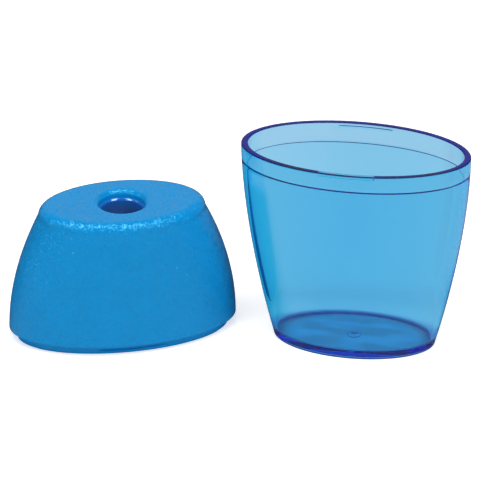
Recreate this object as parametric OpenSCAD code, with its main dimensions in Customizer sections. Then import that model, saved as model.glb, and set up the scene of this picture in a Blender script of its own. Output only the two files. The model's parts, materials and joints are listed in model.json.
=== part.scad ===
// Oval hand-held pencil sharpener: a see-through shavings cup and, standing beside it, the lid that
// holds the sharpening insert. Millimetres, +Z up. The origin is the centre of the cup's base, and
// +X runs along the cup's oval.

/* [Oval] */
// Width of the oval where the cup and the lid meet
oval_w = 45; // [40:0.5:60]
// Depth of the oval where the cup and the lid meet
oval_d = 23.9; // [22:0.1:34]

/* [Cup] */
// Height of the cup
cup_h = 41; // [30:0.5:60]
// Width of the cup's base
base_w = 31.8; // [26:0.2:38]
// Depth of the cup's base
base_d = 18.8; // [14:0.2:21]
// Curve of the cup's sides, where 1 is a straight taper and more is fuller below the rim
cup_curve = 1.7; // [1:0.1:2.5]
// Thickness of the cup's wall at the front and the back
cup_wall = 1.8; // [1.4:0.1:2.4]
// Thickness of the wall round the mouth, where the lid's spigot goes in
mouth_wall = 1.35; // [0.9:0.05:1.8]
// Depth of the mouth, from the rim to its ledge
mouth_depth = 3.9; // [3:0.1:6]
// Width of the mouth's ledge at the two ends, where the wall below it is thinner
end_ledge = 0.15; // [0.05:0.05:0.4]
// Thickness of the cup's floor
floor_t = 1.3; // [1:0.1:4]
// Rounding between the floor and the wall inside
floor_fillet = 0.7; // [0.3:0.1:3]
// Rounding of the base's outer edge
base_edge = 0.2; // [0.1:0.05:0.4]
// Width of the foot that the base stands on
foot_w = 1.2; // [1:0.1:3]
// Height of the foot
foot_h = 0.2; // [0.1:0.05:0.4]
// Diameter of the pad that the moulding gate leaves in the middle of the base
gate_d = 2.6; // [1.6:0.1:4]
// Diameter of the nub above the pad, in the middle of the floor
nub_d = 1.1; // [0.6:0.1:1.4]
// Height of the nub
nub_h = 0.2; // [0.05:0.01:0.3]

/* [Snap] */
// Length of the snap bead inside the front and the back of the rim
bead_len = 11.3; // [6:0.1:16]
// Height of the bead
bead_h = 0.7; // [0.4:0.05:0.9]
// How far the bead stands out of the mouth's wall
bead_out = 0.25; // [0.15:0.05:0.4]
// Distance from the rim down to the bead
bead_drop = 0.35; // [0.3:0.05:0.5]
// Room above, below and behind the bead in the lid's recess
snap_room = 0.2; // [0.1:0.05:0.3]
// Room at each end of the bead in the lid's recess
snap_side = 0.95; // [0.3:0.05:2]

/* [Lid] */
// Height of the lid with its spigot
lid_h = 27.8; // [26:0.1:40]
// Width of the lid's top before its edge is rounded
top_w = 33; // [26:0.2:42]
// Depth of the lid's top before its edge is rounded
top_d = 20.8; // [19:0.1:22]
// Curve of the lid's sides, where 1 is a straight taper and more is fuller
lid_curve = 2; // [1:0.1:3]
// Rounding of the top's edge
top_edge = 2; // [1:0.1:3]
// Least thickness of the lid's wall
lid_wall = 1.4; // [1:0.1:2]
// Thickness of the lid's top
top_t = 1.6; // [1.2:0.1:3]
// Height of the spigot below the shoulder
spigot_h = 2; // [1.8:0.1:3]
// Thickness of the spigot's wall
spigot_wall = 1.2; // [0.8:0.1:1.6]
// Clearance between the spigot and the cup's mouth
spigot_fit = 0.15; // [0.05:0.05:0.3]
// Thickness of the two guide ribs that carry the insert
rib_t = 1.6; // [1:0.1:2.4]
// Height of the guide ribs
rib_h = 16; // [8:0.5:20]

/* [Insert] */
// Bore that guides the pencil
bore_d = 8.2; // [7.4:0.1:9]
// Extra radius of the lid's hole round the bore
hole_room = 0.4; // [0.1:0.05:0.6]
// Rounding of the lid's hole at the top
hole_round = 1; // [0.3:0.1:1.1]
// Length of the bore, with its rounded mouth, before its taper
lead_in = 4.5; // [3:0.1:6]
// Depth of the rounding at the bore's mouth
mouth_lead = 0.6; // [0.4:0.05:1]
// How far the bore's mouth flares out
mouth_flare = 0.25; // [0.1:0.05:0.3]
// Included angle of the sharpened point
point_angle = 23; // [20:0.5:26]
// Diameter where the taper ends
tip_d = 1.6; // [1:0.1:2.4]
// Wall of the insert in front of and behind the bore
block_wall = 1.7; // [1.3:0.1:2.5]
// Wall of the insert at each side of the bore
block_side = 2.4; // [2:0.1:2.8]
// Height of the insert
block_h = 22; // [20:0.5:23]
// Depth of the grooves that slide onto the guide ribs
groove_depth = 1.2; // [0.6:0.1:1.4]
// Clearance between a guide rib and its groove
rail_fit = 0.05; // [0.02:0.01:0.15]
// How far the blade's seat cuts into the taper
bite = 0.35; // [0.2:0.05:0.6]
// How far below the start of the taper the blade's seat begins
seat_drop = 0.4; // [0.3:0.1:2]
// Width of the chip slot beside the blade's edge
chip_w = 2.4; // [1.5:0.1:3]
// Depth of the chip slot into the insert
chip_depth = 1.1; // [0.6:0.1:1.6]

/* [Blade] */
// Length of the blade
blade_len = 17; // [15:0.1:17.5]
// Thickness of the blade
blade_t = 0.55; // [0.4:0.05:0.8]
// How far the blade's edge passes the middle of the bore
edge_over = 0.3; // [0:0.05:0.6]
// Width of the ground bevel
bevel_w = 1.6; // [0.8:0.1:1.8]
// Distance of the blade's back edge from the insert's side
blade_inset = 0.2; // [0:0.05:0.6]
// Gap between the blade's top end and its seat's step
blade_gap = 0.2; // [0.1:0.05:0.5]

/* [Screw] */
// Diameter of the screw's shank
shank_d = 2; // [1.6:0.1:2.2]
// Depth of the shank in the insert
shank_len = 5; // [3:0.1:6]
// Clearance round the shank
shank_fit = 0.05; // [0.02:0.01:0.2]
// Diameter of the screw's head
head_d = 4; // [3.2:0.1:4.4]
// Height of the head
head_h = 1.2; // [0.8:0.1:1.6]
// Rounding of the head's edge
head_round = 0.4; // [0.2:0.1:0.6]
// Width of the driver slot
slot_w = 0.6; // [0.4:0.1:0.8]
// Depth of the driver slot
slot_depth = 0.6; // [0.3:0.1:0.8]
// Distance of the screw from the blade's back edge
screw_inset = 2.3; // [2:0.1:2.6]
// Distance of the screw down the seat from the start of the taper
screw_drop = 10; // [8:0.1:12]

/* [Lid standing beside the cup] */
// Gap between the two ovals
stand_gap = 1.25; // [0.5:0.05:20]
// Direction from the cup to the lid, in degrees about Z
stand_dir = 186.8; // [0:0.1:360]
// Turn of the lid about Z, in degrees
lid_turn = 23; // [-180:0.5:180]

/* [Hidden] */
$fn = 96;

cup_blue = [0.35, 0.68, 0.90, 0.55];
lid_blue = [0.09, 0.53, 0.78];
insert_blue = [0.10, 0.40, 0.68];
steel = [0.76, 0.77, 0.79];
screw_steel = [0.62, 0.63, 0.65];

// Facets of the two oval shells: rings along each stretch, and steps in a quarter of the way round
wall_rings = 10;
inner_rings = 8;
round_steps = 5;
side_steps = 12;
front_steps = 3;

edge_break = 0.2; // small rounding of the rim's and the shoulder's edges
snap_ramp = 0.4;  // length over which a bead or a recess runs out at its ends
overcut = 1;      // how far a cutting solid passes the face that it cuts

oval_a = oval_w / 2;
oval_b = oval_d / 2;
mouth_a = oval_a - mouth_wall;
mouth_b = oval_b - mouth_wall;
spigot_a = mouth_a - spigot_fit;
spigot_b = mouth_b - spigot_fit;

// The recess in the spigot takes the cup's bead, and a lip below it snaps past the bead
recess_h = bead_drop + bead_h + snap_room;
recess_len = bead_len + 2 * snap_side;
recess_in = bead_out + snap_room - spigot_fit;
lip_h = spigot_h - recess_h;
lip_edge = lip_h / 4;
lip_ramp = lip_h / 4;

lid_under = lid_h - top_t;
inner_edge = min(top_edge, top_t) / 2;

bore_r = bore_d / 2;
hole_r = bore_r + hole_room;
tip_r = tip_d / 2;
half_angle = point_angle / 2;
block_x = bore_d + 2 * block_wall;
block_y = bore_d + 2 * block_side;
block_z = lid_under - block_h;
taper_z = lid_under - lead_in;
taper_len = (bore_r - tip_r) / tan(half_angle);
mouth_turn = 2 * atan(mouth_flare / mouth_lead);
mouth_round = mouth_lead / sin(mouth_turn);
mouth_steps = 6;

blade_top = -seat_drop - blade_gap;
blade_back = blade_inset - block_y / 2;
screw_y = blade_back + screw_inset;

// How far an oval of half-axes a and b reaches in a direction
function reach(a, b, dir) = norm([a * cos(dir), b * sin(dir)]);
lid_dist = reach(oval_a, oval_b, stand_dir) + reach(oval_a, oval_b, stand_dir - lid_turn) + stand_gap;

// Half-axis of the cup's outside at a height, from its values at the rim and at the base
function cup_half(z, rim, base) = rim - (rim - base) * pow((cup_h - z) / cup_h, cup_curve);
function cup_a(z) = cup_half(z, oval_a, base_w / 2);
function cup_b(z) = cup_half(z, oval_b, base_d / 2);

// Half-axis of the lid's outside at a height, before its top edge is rounded
function lid_rise(z) = min(1, max(0, (z - spigot_h) / (lid_h - top_edge - spigot_h)));
function lid_a(z) = oval_a - (oval_a - top_w / 2) * pow(lid_rise(z), lid_curve);
function lid_b(z) = oval_b - (oval_b - top_d / 2) * pow(lid_rise(z), lid_curve);

// Half-axis of the lid's inside, which is never wider than the spigot's opening
function lid_inner_a(z) = min(spigot_a - spigot_wall, lid_a(z) - lid_wall);
function lid_inner_b(z) = min(spigot_b - spigot_wall, lid_b(z) - lid_wall);

function steps(from, to, n) = [for (i = [0 : n]) from + (to - from) * i / n];

// Directions round an oval, with one at each end of a bead or recess on its front and back
function quarter(a, half_len) =
    let (end = acos(half_len / a), full = acos((half_len - snap_ramp) / a))
    concat(
        [for (i = [0 : side_steps - 1]) end * i / side_steps],
        [end],
        [for (i = [0 : front_steps - 1]) full + (90 - full) * i / front_steps]
    );
function around(q) =
    let (half = concat(q, [90], [for (i = [len(q) - 1 : -1 : 1]) 180 - q[i]]))
    concat(half, [for (t = half) t + 180]);

// Share of a bead's or recess's depth at a distance from its middle
function snap_share(x, half_len) = min(1, max(0, (half_len - abs(x)) / snap_ramp));

// One closed shell through oval rings [half-axis a, half-axis b, height, depth of the snap feature]
module oval_skin(rings, half_len) {
    dirs = around(quarter(mouth_a, half_len));
    n = len(dirs);
    points = [
        for (r = rings) for (t = dirs)
            let (push = r[3] * snap_share(mouth_a * cos(t), half_len))
            [(r[0] - push) * cos(t), (r[1] - push) * sin(t), r[2]]
    ];
    sides = [
        for (i = [0 : len(rings) - 2]) for (j = [0 : n - 1])
            let (k = (j + 1) % n, low = i * n, high = low + n)
            each [[low + j, high + j, high + k], [low + j, high + k, low + k]]
    ];
    first = [for (j = [0 : n - 1]) j];
    last = [for (j = [n - 1 : -1 : 0]) (len(rings) - 1) * n + j];
    polyhedron(points, concat([first], sides, [last]), convexity = 6);
}

// From the pad under the base, round the foot, up the outside, over the rim and down the inside to
// the floor
function cup_rings() =
    let (
        foot_a = cup_a(base_edge) - foot_w,
        foot_b = cup_b(base_edge) - foot_w,
        ledge_z = cup_h - mouth_depth,
        end_wall = cup_a(ledge_z) - mouth_a + end_ledge,
        bead_z = cup_h - bead_drop,
        fillet_z = floor_t + floor_fillet
    )
    concat(
        [
            [gate_d / 2, gate_d / 2, 0, 0],
            [gate_d / 2, gate_d / 2, foot_h, 0]
        ],
        [for (t = steps(0, 90, round_steps))
            let (out = foot_h * (1 - cos(t)))
            [foot_a + out, foot_b + out, foot_h * (1 - sin(t)), 0]],
        [for (t = steps(0, 90, round_steps))
            let (in = base_edge * (1 - sin(t)))
            [cup_a(base_edge) - in, cup_b(base_edge) - in, base_edge * (1 - cos(t)), 0]],
        [for (i = [1 : wall_rings])
            let (z = base_edge + (cup_h - edge_break - base_edge) * i / wall_rings)
            [cup_a(z), cup_b(z), z, 0]],
        [
            [oval_a - edge_break, oval_b - edge_break, cup_h, 0],
            [mouth_a + edge_break, mouth_b + edge_break, cup_h, 0],
            [mouth_a, mouth_b, cup_h - edge_break, 0],
            [mouth_a, mouth_b, bead_z, 0],
            [mouth_a, mouth_b, bead_z - bead_h / 3, bead_out],
            [mouth_a, mouth_b, bead_z - bead_h * 2 / 3, bead_out],
            [mouth_a, mouth_b, bead_z - bead_h, 0],
            [mouth_a, mouth_b, ledge_z, 0]
        ],
        [for (z = steps(ledge_z, fillet_z, inner_rings)) [cup_a(z) - end_wall, cup_b(z) - cup_wall, z, 0]],
        [for (i = [1 : round_steps])
            let (t = 90 * i / round_steps, in = floor_fillet * (1 - cos(t)))
            [
                cup_a(fillet_z) - end_wall - in,
                cup_b(fillet_z) - cup_wall - in,
                fillet_z - floor_fillet * sin(t),
                0
            ]]
    );

// From the underside of the top, down the inside, round the spigot and up the outside to the top
function lid_rings() =
    let (
        corner_z = lid_under - inner_edge,
        round_z = lid_h - top_edge
    )
    concat(
        [for (t = steps(90, 0, round_steps))
            let (in = inner_edge * (1 - cos(t)))
            [lid_inner_a(corner_z) - in, lid_inner_b(corner_z) - in, corner_z + inner_edge * sin(t), 0]],
        [for (i = [1 : inner_rings])
            let (z = corner_z * (1 - i / inner_rings))
            [lid_inner_a(z), lid_inner_b(z), z, 0]],
        [
            [spigot_a - lip_edge, spigot_b - lip_edge, 0, 0],
            [spigot_a, spigot_b, lip_edge, 0],
            [spigot_a, spigot_b, lip_h - lip_ramp, 0],
            [spigot_a, spigot_b, lip_h, recess_in],
            [spigot_a, spigot_b, spigot_h, recess_in],
            [oval_a - edge_break, oval_b - edge_break, spigot_h, 0]
        ],
        [for (z = steps(spigot_h + edge_break, round_z, wall_rings)) [lid_a(z), lid_b(z), z, 0]],
        [for (i = [1 : round_steps])
            let (t = 90 * i / round_steps, in = top_edge * (1 - cos(t)))
            [lid_a(round_z) - in, lid_b(round_z) - in, round_z + top_edge * sin(t), 0]]
    );

module cup() {
    color(cup_blue) union() {
        oval_skin(cup_rings(), bead_len / 2);
        translate([0, 0, floor_t / 2]) cylinder(d = nub_d, h = floor_t / 2 + nub_h);
    }
}

// Puts the lid and what it holds where they stand beside the cup
module beside_cup() {
    translate(lid_dist * [cos(stand_dir), sin(stand_dir), 0]) rotate(lid_turn) children();
}

// Hole in the lid's top, rounded over at its mouth
module pencil_hole() {
    rotate_extrude() difference() {
        translate([0, lid_under - overcut]) square([hole_r + hole_round, top_t + 2 * overcut]);
        translate([hole_r, lid_under - 2 * overcut])
            square([hole_round + overcut, top_t + 2 * overcut - hole_round]);
        translate([hole_r + hole_round, lid_h - hole_round]) circle(hole_round);
    }
}

// Rib on the inside of the lid's back wall that slides into a groove of the insert
module guide_rib() {
    foot_z = lid_under - rib_h;
    root = lid_wall / 2;
    wall = [for (z = steps(foot_z, lid_under, inner_rings)) [lid_inner_b(z) + root, z]];
    tip = block_y / 2 - groove_depth + rail_fit;
    top = lid_under + top_t / 2;
    rotate([90, 0, 90]) linear_extrude(rib_t, center = true)
        polygon(concat([[tip, top], [tip, foot_z]], wall, [[lid_inner_b(lid_under) + root, top]]));
}

module lid() {
    color(lid_blue) beside_cup() difference() {
        union() {
            oval_skin(lid_rings(), recess_len / 2);
            for (turn = [0, 180]) rotate(turn) guide_rib();
        }
        pencil_hole();
    }
}

// Blade's seat: X points out of it, Z runs up the taper from where the taper starts
module on_seat() {
    translate([bore_r - bite * cos(half_angle), 0, taper_z + bite * sin(half_angle)])
        rotate([0, half_angle, 0]) children();
}

// Tip, taper, straight lead-in and rounded mouth of the pencil's bore, turned in one piece. The
// rounding runs on a little past the block's upper face.
module pencil_bore() {
    tip_z = block_z - overcut;
    top_z = lid_under + overcut;
    mouth = [for (t = steps(0, 1.25 * mouth_turn, mouth_steps))
        [bore_r + mouth_round * (1 - cos(t)), lid_under - mouth_lead + mouth_round * sin(t)]];
    rotate_extrude() polygon(concat(
        [[0, tip_z], [tip_r, tip_z], [tip_r, taper_z - taper_len], [bore_r, taper_z]],
        mouth,
        [[mouth[mouth_steps].x, top_z], [0, top_z]]
    ));
}

module sharpener_block() {
    groove_w = rib_t + 2 * rail_fit;
    color(insert_blue) beside_cup() difference() {
        translate([-block_x / 2, -block_y / 2, block_z]) cube([block_x, block_y, block_h]);
        pencil_bore();
        for (turn = [0, 180]) rotate(turn)
            translate([-groove_w / 2, block_y / 2 - groove_depth, block_z - overcut])
                cube([groove_w, groove_depth + overcut, block_h + 2 * overcut]);
        on_seat() {
            translate([0, -block_y, -seat_drop - 2 * block_h]) cube([block_x, 2 * block_y, 2 * block_h]);
            translate([-chip_depth, edge_over, -taper_len]) cube([block_x, chip_w, taper_len - seat_drop]);
            translate([-shank_len - shank_fit, screw_y, -screw_drop]) rotate([0, 90, 0])
                cylinder(d = shank_d + 2 * shank_fit, h = shank_len + shank_fit + overcut);
        }
    }
}

module blade() {
    color(steel) beside_cup() on_seat() difference() {
        translate([0, 0, blade_top - blade_len]) linear_extrude(blade_len)
            polygon([
                [0, blade_back], [0, edge_over], [blade_t, edge_over - bevel_w], [blade_t, blade_back]
            ]);
        translate([-overcut, screw_y, -screw_drop]) rotate([0, 90, 0])
            cylinder(d = shank_d + 2 * shank_fit, h = blade_t + 2 * overcut);
    }
}

module blade_screw() {
    color(screw_steel) beside_cup() on_seat()
        translate([0, screw_y, -screw_drop]) rotate([0, 90, 0]) difference() {
            union() {
                translate([0, 0, -shank_len]) cylinder(d = shank_d, h = shank_len + blade_t + head_h / 2);
                translate([0, 0, blade_t]) rotate_extrude() union() {
                    square([head_d / 2, head_h - head_round]);
                    square([head_d / 2 - head_round, head_h]);
                    translate([head_d / 2 - head_round, head_h - head_round]) intersection() {
                        circle(head_round);
                        square(head_round);
                    }
                }
            }
            translate([-slot_w / 2, -head_d, blade_t + head_h - slot_depth])
                cube([slot_w, 2 * head_d, 2 * slot_depth]);
        }
}

cup();
lid();
sharpener_block();
blade();
blade_screw();
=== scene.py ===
# %% [markdown]
# An oval pencil sharpener with its lid taken off. Two plastic halves stand side by side: a see-through
# blue cup for the shavings, and an opaque, finely grained lid that holds the sharpening insert, its
# blade and its screw. The exact solids come packed as a frame. This script measures them, remodels the
# mouldings as smooth shells, gives every piece its finish, and sets the floor, the light and the camera.

# %% Load the frame
import json
import math

import bmesh
import bpy
from mathutils import Matrix, Vector
from mathutils.bvhtree import BVHTree


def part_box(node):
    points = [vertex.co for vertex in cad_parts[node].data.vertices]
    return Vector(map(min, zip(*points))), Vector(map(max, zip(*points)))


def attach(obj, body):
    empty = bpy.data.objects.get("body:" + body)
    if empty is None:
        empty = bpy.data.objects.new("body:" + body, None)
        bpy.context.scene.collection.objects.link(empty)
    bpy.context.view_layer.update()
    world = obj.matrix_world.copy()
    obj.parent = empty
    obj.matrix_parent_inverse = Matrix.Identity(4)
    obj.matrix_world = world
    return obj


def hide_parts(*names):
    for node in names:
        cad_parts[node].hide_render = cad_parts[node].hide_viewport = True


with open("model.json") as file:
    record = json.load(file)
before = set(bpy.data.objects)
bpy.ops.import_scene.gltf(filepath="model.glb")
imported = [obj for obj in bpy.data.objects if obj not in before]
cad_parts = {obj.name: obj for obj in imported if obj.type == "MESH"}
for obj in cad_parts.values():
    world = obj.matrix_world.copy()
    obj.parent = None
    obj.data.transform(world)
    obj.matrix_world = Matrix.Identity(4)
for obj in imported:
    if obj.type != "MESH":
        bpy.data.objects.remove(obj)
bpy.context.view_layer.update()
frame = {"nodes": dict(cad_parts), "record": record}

MM = 0.001
print("pieces in the frame:", ", ".join(sorted(frame["nodes"])))

# %% [markdown]
# Sizes are measured, not typed in. A ray that is sent through a solid tells where its surface is, so a
# few rays give the walls, the floor and the ledges of the mouldings. Typing the sizes in would also work,
# but the looks would then stay behind whenever the solids change. The end of a small form, such as a
# bead, is found by halving: a test tells on which side of the end a point lies, again and again.

# %% Send a ray through a solid
UP, ALONG, ACROSS = Vector((0, 0, 1)), Vector((1, 0, 0)), Vector((0, 1, 0))
SKIP = 0.002 * MM          # how far past a hit the next ray starts
OFF_SEAM = 0.01 * MM       # keeps a ray off the edge between two faces
HALVINGS = 24              # steps of a search for an end


def surface_of(node):
    """The faces of a solid, sorted so that a ray finds them quickly."""
    mesh = frame["nodes"][node].data
    return BVHTree.FromPolygons([v.co for v in mesh.vertices], [p.vertices for p in mesh.polygons])


def crossings(surface, start, direction):
    """Distances from start at which a straight line passes through the surface."""
    found, travelled = [], 0.0
    while True:
        hit, _, _, step = surface.ray_cast(start + direction * travelled, direction)
        if hit is None:
            return found
        travelled += step
        if not found or travelled - found[-1] > 10 * SKIP:
            found.append(travelled)
        travelled += SKIP


def where_it_stops(holds, inside, outside):
    """The value between inside and outside at which a test stops holding, found by halving."""
    for _ in range(HALVINGS):
        middle = (inside + outside) / 2
        inside, outside = (middle, outside) if holds(middle) else (inside, middle)
    return inside


print("ready to measure", len(frame["nodes"]), "solids")

# %% [markdown]
# The cup has a thin mouth, a ledge below it on which the lid's spigot ends, a thicker wall and a floor.
# The wall leaves the rim upright and draws in towards the base along a power of the depth. Two heights
# are enough to find that power and the base. A traced outline would do as well, but it would have to be
# traced anew for each size of cup.

# %% Measure the cup
LEDGE_SPOT = 0.2 * MM      # how far in from the mouth's wall the ledge is met
cup_surface = surface_of("cup")
rim_a, rim_b, cup_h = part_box("cup")[1]
low_z, mid_z, mouth_z = 0.03 * cup_h, 0.5 * cup_h, 0.95 * cup_h


def cup_line(z, direction, x=0.0):
    """Where a level line from the middle plane enters and leaves the cup's wall."""
    side = Vector((-direction.y, direction.x, 0)) * OFF_SEAM
    return crossings(cup_surface, Vector((x, 0, z)) + side, direction)


def cup_drop(x, y=OFF_SEAM):
    """Height of the first surface under a point above the mouth."""
    return 2 * cup_h - crossings(cup_surface, Vector((x, y, 2 * cup_h)), -UP)[0]


mouth_a, mouth_b = cup_line(mouth_z, ALONG)[0], cup_line(mouth_z, ACROSS)[0]
end_wall, side_wall = (cup_line(mid_z, way)[-1] - cup_line(mid_z, way)[0] for way in (ALONG, ACROSS))
floor_z = cup_drop(rim_a / 3)
ledge_z = cup_drop(mouth_a / 2, mouth_b * math.sqrt(1 - 0.5 ** 2) - LEDGE_SPOT)
print(f"cup: rim {2000 * rim_a:.2f} x {2000 * rim_b:.2f}, "
      f"mouth {2000 * mouth_a:.2f} x {2000 * mouth_b:.2f}, "
      f"wall {1000 * side_wall:.2f}, {1000 * end_wall:.2f} at the ends, "
      f"ledge at {1000 * ledge_z:.2f}, floor at {1000 * floor_z:.2f} mm")


# %% Find the curve of the cup's wall
def side_curve(rim, half_1, rise_1, half_2, rise_2):
    """Power and end half-width of a side that leaves the rim upright, from two points on its rise."""
    power = math.log((rim - half_1) / (rim - half_2)) / math.log(rise_1 / rise_2)
    return power, rim - (rim - half_1) / rise_1 ** power


low_rise, mid_rise = 1 - low_z / cup_h, 1 - mid_z / cup_h
cup_power, base_a = side_curve(rim_a, cup_line(low_z, ALONG)[-1], low_rise,
                               cup_line(mid_z, ALONG)[-1], mid_rise)
_, base_b = side_curve(rim_b, cup_line(low_z, ACROSS)[-1], low_rise,
                       cup_line(mid_z, ACROSS)[-1], mid_rise)
print(f"base {2000 * base_a:.2f} x {2000 * base_b:.2f} mm, power {cup_power:.2f}")

# %% Measure the snap bead
LEVELS_TRIED = 40          # between the ledge and the rim, to find where the bead stands out most
BELOW_RIM = 0.25 * MM      # keeps the search off the rim's rounding
heights = [ledge_z + (cup_h - ledge_z) * i / LEVELS_TRIED for i in range(4, LEVELS_TRIED - 2)]
bead_z = min(heights, key=lambda z: cup_line(z, ACROSS)[0])
bead_out = mouth_b - cup_line(bead_z, ACROSS)[0]


def bead_shows(x, z):
    """True where the bead stands out by more than half."""
    wall = mouth_b * math.sqrt(1 - (x / mouth_a) ** 2)
    return wall - cup_line(z, ACROSS, x)[0] > bead_out / 2


bead_top = where_it_stops(lambda z: bead_shows(0, z), bead_z, cup_h - BELOW_RIM)
bead_low = where_it_stops(lambda z: bead_shows(0, z), bead_z, mouth_z)
bead_half = where_it_stops(lambda x: bead_shows(x, bead_z), 0, mouth_a / 2)
print(f"bead {2000 * bead_half:.2f} long, {1000 * (bead_top - bead_low):.2f} high at half its "
      f"{1000 * bead_out:.2f} mm")


# %% Measure the foot and the gate mark
def cup_rise(x):
    """Height of the first surface above a point below the base."""
    return crossings(cup_surface, Vector((x, OFF_SEAM, -cup_h)), UP)[0] - cup_h


foot_h = cup_rise(base_a / 2)
foot_a = where_it_stops(lambda x: cup_rise(x) > foot_h - OFF_SEAM, base_a / 2, base_a)
pad_r = where_it_stops(lambda x: cup_rise(x) < OFF_SEAM, 0, base_a / 2)
nub_h = cup_drop(0) - floor_z
nub_r = where_it_stops(lambda x: cup_drop(x) > floor_z + OFF_SEAM, 0, rim_a / 3)
print(f"foot {1000 * foot_h:.2f} high, {2000 * foot_a:.2f} across inside; "
      f"gate pad {2000 * pad_r:.2f} across, nub {2000 * nub_r:.2f} across and {1000 * nub_h:.2f} mm high")

# %% [markdown]
# The lid stands beside the cup, turned by an angle of its own. The point of its oval that lies farthest
# from the pencil bore gives that angle, and from then on its lines are measured in its own axes. A copy
# could be turned back instead, but a matrix leaves the solid where the frame has it.

# %% Find the lid's place and turn
lid_surface = surface_of("lid")
bore = next(m for m in frame["record"]["mounts"] if m["name"] == "pencil_bore")
lid_at = Vector((bore["pos_m"][0], bore["pos_m"][1], 0))
far = max((v.co for v in frame["nodes"]["lid"].data.vertices), key=lambda p: (p.xy - lid_at.xy).length)
lid_turn = math.remainder(math.atan2(far.y - lid_at.y, far.x - lid_at.x), math.pi)
lid_place = Matrix.Translation(lid_at) @ Matrix.Rotation(lid_turn, 4, "Z")


def lid_line(start, direction):
    """Crossings of a line that is given in the lid's own axes."""
    side = ACROSS if direction.z else Vector((-direction.y, direction.x, 0))
    return crossings(lid_surface, lid_place @ (start + side * OFF_SEAM), lid_place.to_3x3() @ direction)


print(f"lid turned by {math.degrees(lid_turn):.1f} degrees")

# %% Measure the lid
SHOULDER_SPOT = 0.5 * MM   # how far in from the rim the shoulder is met
HOLE_DROP = 0.2 * MM       # how far down the hole's rounded mouth it is measured
lid_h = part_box("lid")[1].z
shoulder_z = lid_line(Vector((rim_a - SHOULDER_SPOT, 0, -cup_h)), UP)[0] - cup_h
under_z = lid_line(Vector((rim_a / 2, 0, shoulder_z)), UP)[0] + shoulder_z
spigot_spot = UP * shoulder_z / 6
spigot_a, spigot_b = (lid_line(spigot_spot, way)[-1] for way in (ALONG, ACROSS))
spigot_wall = spigot_a - lid_line(spigot_spot, ALONG)[0]
hole_r = lid_line(UP * (under_z + 0.2 * (lid_h - under_z)), ALONG)[0]
flare = lid_line(UP * (lid_h - HOLE_DROP), ALONG)[0] - hole_r
hole_round = flare + HOLE_DROP + math.sqrt(2 * flare * HOLE_DROP)
print(f"lid {1000 * lid_h:.2f} high, spigot {2000 * spigot_a:.2f} x {2000 * spigot_b:.2f} x "
      f"{1000 * shoulder_z:.2f}, hole {2000 * hole_r:.2f} rounded {1000 * hole_round:.2f} mm")

# %% Find the curve of the lid's side
TOP_EDGE = 2.0 * MM        # rounding of the top's edge, as in the solid
round_z = lid_h - TOP_EDGE
high_z, half_z = 0.9 * round_z, 0.55 * round_z


def lid_rise(z):
    """Share of the way from the shoulder to the top's rounding."""
    return (z - shoulder_z) / (round_z - shoulder_z)


lid_wall = lid_line(UP * high_z, ALONG)[-1] - lid_line(UP * high_z, ALONG)[0]
lid_power, top_a = side_curve(rim_a, lid_line(UP * high_z, ALONG)[-1], lid_rise(high_z),
                              lid_line(UP * half_z, ALONG)[-1], lid_rise(half_z))
_, top_b = side_curve(rim_b, lid_line(UP * high_z, ACROSS)[-1], lid_rise(high_z),
                      lid_line(UP * half_z, ACROSS)[-1], lid_rise(half_z))
print(f"top {2000 * top_a:.2f} x {2000 * top_b:.2f}, wall {1000 * lid_wall:.2f} mm, power {lid_power:.2f}")

# %% Measure the recess and the guide ribs
RIB_SLACK = 0.5 * MM       # a point as near as this to a rib's tip belongs to the rib
recess_z, rib_z = 0.9 * shoulder_z, 0.9 * under_z
recess_in = spigot_b - lid_line(UP * recess_z, ACROSS)[-1]
rib_tip = lid_line(UP * rib_z, ACROSS)[0]


def recess_shows(x, z):
    """True where the recess is deeper than half."""
    wall = spigot_b * math.sqrt(1 - (x / spigot_a) ** 2)
    return wall - lid_line(Vector((x, 0, z)), ACROSS)[-1] > recess_in / 2


def rib_shows(x, z):
    return lid_line(Vector((x, 0, z)), ACROSS)[0] < rib_tip + RIB_SLACK


recess_low = where_it_stops(lambda z: recess_shows(0, z), recess_z, spigot_spot.z)
recess_half = where_it_stops(lambda x: recess_shows(x, recess_z), 0, spigot_a / 2)
rib_half = where_it_stops(lambda x: rib_shows(x, rib_z), 0, spigot_a / 4)
rib_foot = where_it_stops(lambda z: rib_shows(0, z), rib_z, shoulder_z)
print(f"recess {2000 * recess_half:.2f} long, {1000 * recess_in:.2f} deep, from {1000 * recess_low:.2f} up; "
      f"ribs {2000 * rib_half:.2f} thick from {1000 * rib_foot:.2f} up, "
      f"tips {1000 * rib_tip:.2f} mm from the middle")

# %% [markdown]
# Both halves are ovals that change size along their height, so both are lofted: one closed line of points
# per level, and faces between neighbouring lines. A subdivision surface over a coarse cage could make
# such a form too, but its rim, ledges and recesses would need many holding edges. Across the front and
# the back the points of every level stand in the same upright planes, so that the ends of a bead or a rib
# always fall on a point.

# %% Lay points round an oval
MIDDLE = 0.42              # share of the half-width in which the points stand in upright planes
SPACING = 0.3 * MM         # distance between those planes
END_STEPS = 40             # points in a quarter turn at an end


def laid_out(half_width, marks):
    """A function that gives the angles of a level's points. One plane is at each mark, the first at 0."""
    planes = list(marks)
    count = math.ceil(half_width / SPACING)
    for i in range(count + 1):
        x = half_width * i / count
        if all(abs(x - m) > SPACING / 3 for m in marks):
            planes.append(x)
    planes.sort()
    across = [-x for x in reversed(planes[1:])] + planes

    def angles(a):
        corner = math.acos(half_width / a)
        end = [corner * i / END_STEPS for i in range(END_STEPS)]
        back = [math.acos(x / a) for x in reversed(across)]
        left = [math.pi - t for t in reversed(end)] + [math.pi + t for t in end[1:]]
        front = [2 * math.pi - math.acos(x / a) for x in across]
        return end + back + left + front + [2 * math.pi - t for t in reversed(end[1:])]

    return angles


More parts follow.
